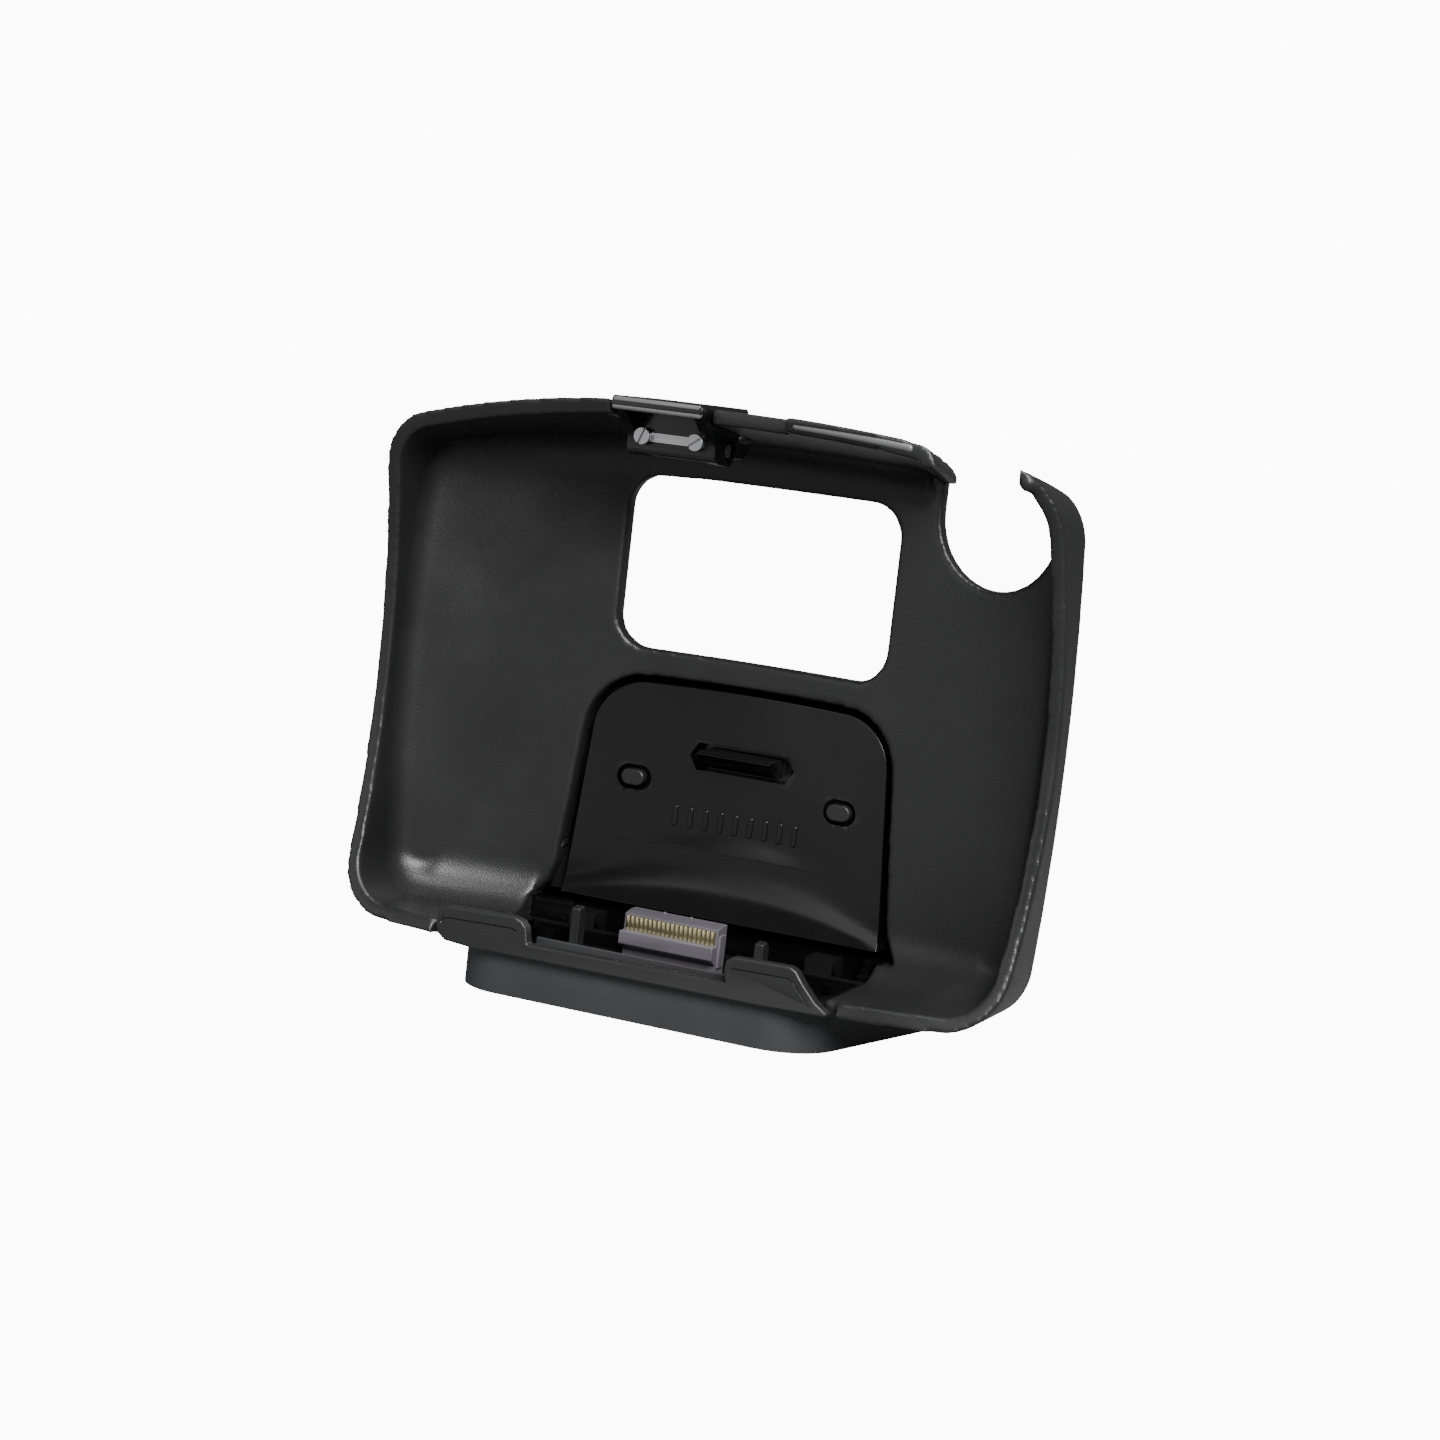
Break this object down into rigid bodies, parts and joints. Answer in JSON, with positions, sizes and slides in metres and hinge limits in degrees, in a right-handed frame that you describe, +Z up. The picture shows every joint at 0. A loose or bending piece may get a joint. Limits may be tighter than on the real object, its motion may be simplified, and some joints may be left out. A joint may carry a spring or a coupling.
{
  "type": "gps navigator docking cradle",
  "caption": "In-vehicle docking cradle for a portable navigator: dished shell with window and corner notch, sprung catch, dock plate, connector trough and casing.",
  "frame": {"origin": "centre of the four threaded inserts, on the rear mounting face", "axes": "+X to the right as seen by the driver, +Y rearwards out of the mounting face, +Z up"},
  "size_m": [0.1186, 0.0468, 0.0983],
  "materials": {
    "shell_black": "satin moulded black",
    "gloss_black": "polished black",
    "tray_black": "dull black",
    "housing_grey": "fine moulded dark grey",
    "connector_grey": "pale grey moulded",
    "contact_gold": "gold plated",
    "strip_steel": "bright rolled",
    "screw_steel": "zinc plated",
    "spring_steel": "drawn wire",
    "plate_steel": "zinc plated sheet",
    "insert_brass": "turned",
    "board_green": "solder mask",
    "chip_black": "moulded",
    "ferrite_grey": "pressed",
    "can_aluminium": "drawn"
  },
  "bodies": {
    "cradle": {"cradle_shell": "shell_black", "front_sill": "shell_black", "lower_housing": "housing_grey", "dock_tray": "tray_black", "tray_strip": "connector_grey", "dock_plate": "gloss_black", "stud_rings": "tray_black", "locating_studs": "shell_black", "tongue_spring": "spring_steel", "tongue_retainer": "tray_black", "retainer_screws": "screw_steel", "plate_screws": "screw_steel", "tray_screws": "screw_steel", "guide_tabs": "shell_black", "connector_body": "connector_grey", "connector_contacts": "contact_gold", "main_board": "board_green", "board_screws": "screw_steel", "voltage_regulator": "chip_black", "power_inductor": "ferrite_grey", "filter_capacitors": "can_aluminium", "interface_chip": "chip_black", "power_socket": "tray_black", "antenna_socket": "contact_gold", "housing_screws": "screw_steel", "rear_cover": "shell_black", "mount_plate": "plate_steel", "mount_inserts": "insert_brass", "cover_screws": "screw_steel", "catch_pin": "strip_steel", "catch_spring": "spring_steel"},
    "catch": {"catch_lever": "gloss_black", "catch_strip": "strip_steel", "catch_screws": "strip_steel"},
    "tongue": {"latch_tongue": "gloss_black"}
  },
  "joints": [
    {"name": "catch_hinge", "type": "hinge", "parent": "cradle", "child": "catch", "pos_m": [-0.0081, -0.0333, 0.0586], "axis": [-1, 0, 0], "range_deg": [0, 14], "stiffness_Nm_per_rad": 0.02, "springref_deg": -20.05, "deforming": ["catch_spring"]},
    {"name": "tongue_slide", "type": "slide", "parent": "cradle", "child": "tongue", "axis": [0, 1, 0], "range_m": [0, 0.0025], "stiffness_N_per_m": 800, "springref_m": -0.0015, "deforming": ["tongue_spring"]}
  ]
}
